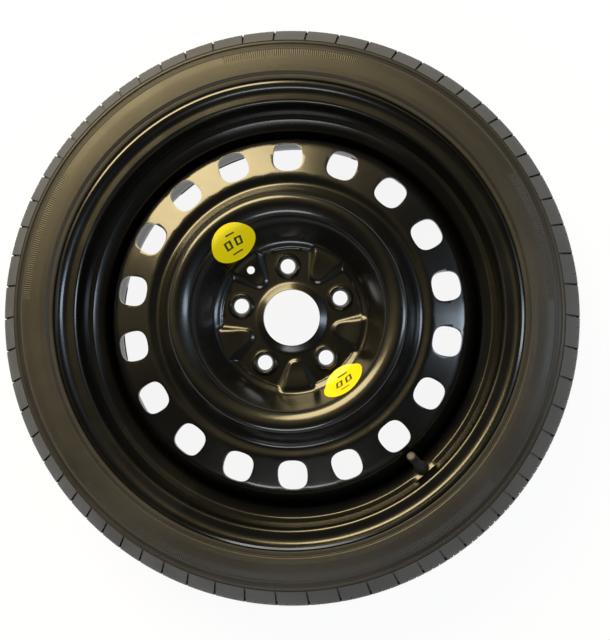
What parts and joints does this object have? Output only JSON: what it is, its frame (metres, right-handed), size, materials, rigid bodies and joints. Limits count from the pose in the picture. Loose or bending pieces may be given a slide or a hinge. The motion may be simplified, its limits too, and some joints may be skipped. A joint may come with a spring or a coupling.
{
  "type": "space saver spare wheel",
  "caption": "Narrow temporary spare wheel with tyre: black pressed steel disc and rim, dished hub pad with bolt holes, ring of vents, snap-in valve and two round labels.",
  "frame": {"origin": "on the wheel's axis, at the bottom of the part, on the surface that the tyre lies on", "axes": "+Z along the wheel's axis towards its outboard face, +X to the picture's right and +Y to its top"},
  "size_m": [0.6068, 0.6068, 0.1429],
  "materials": {
    "tyre_rubber": "matte",
    "rim_paint": "gloss",
    "disc_paint": "gloss",
    "weld_paint": "satin",
    "label_film": "satin",
    "stem_rubber": "satin",
    "brass": "satin",
    "core_brass": "satin",
    "gasket_rubber": "matte",
    "seal_rubber": "matte",
    "spring_steel": "satin",
    "cap_plastic": "satin"
  },
  "bodies": {
    "wheel": {"tyre": "tyre_rubber", "rim": "rim_paint", "disc": "disc_paint", "weld_seam_1": "weld_paint", "weld_seam_2": "weld_paint", "weld_seam_3": "weld_paint", "weld_seam_4": "weld_paint", "weld_seam_5": "weld_paint", "weld_seam_6": "weld_paint", "upper_label": "label_film", "lower_label": "label_film", "valve_stem": "stem_rubber", "valve_insert": "brass", "valve_core_body": "core_brass", "valve_core_gasket": "gasket_rubber", "valve_spring": "spring_steel"},
    "core_pin": {"valve_pin": "core_brass", "valve_seal_cup": "seal_rubber"},
    "cap_seal": {"valve_cap_seal": "seal_rubber"},
    "cap": {"valve_cap": "cap_plastic"}
  },
  "joints": [
    {"name": "core_pin_press", "type": "slide", "parent": "wheel", "child": "core_pin", "axis": [0.3886, -0.4502, -0.8039], "range_m": [0, 0.001], "stiffness_N_per_m": 1500, "deforming": ["valve_spring"]},
    {"name": "cap_lift", "type": "slide", "parent": "wheel", "child": "cap_seal", "axis": [-0.3886, 0.4502, 0.8039], "range_m": [0, 0.00437]},
    {"name": "cap_turn", "type": "hinge", "parent": "cap_seal", "child": "cap", "pos_m": [0.1222, -0.14158, 0.11658], "axis": [-0.3886, 0.4502, 0.8039], "range_deg": [0, 1990]}
  ],
  "couplings": [
    {"joint": "cap_turn", "follows": "cap_lift", "rad_per_m": 7913.3}
  ]
}
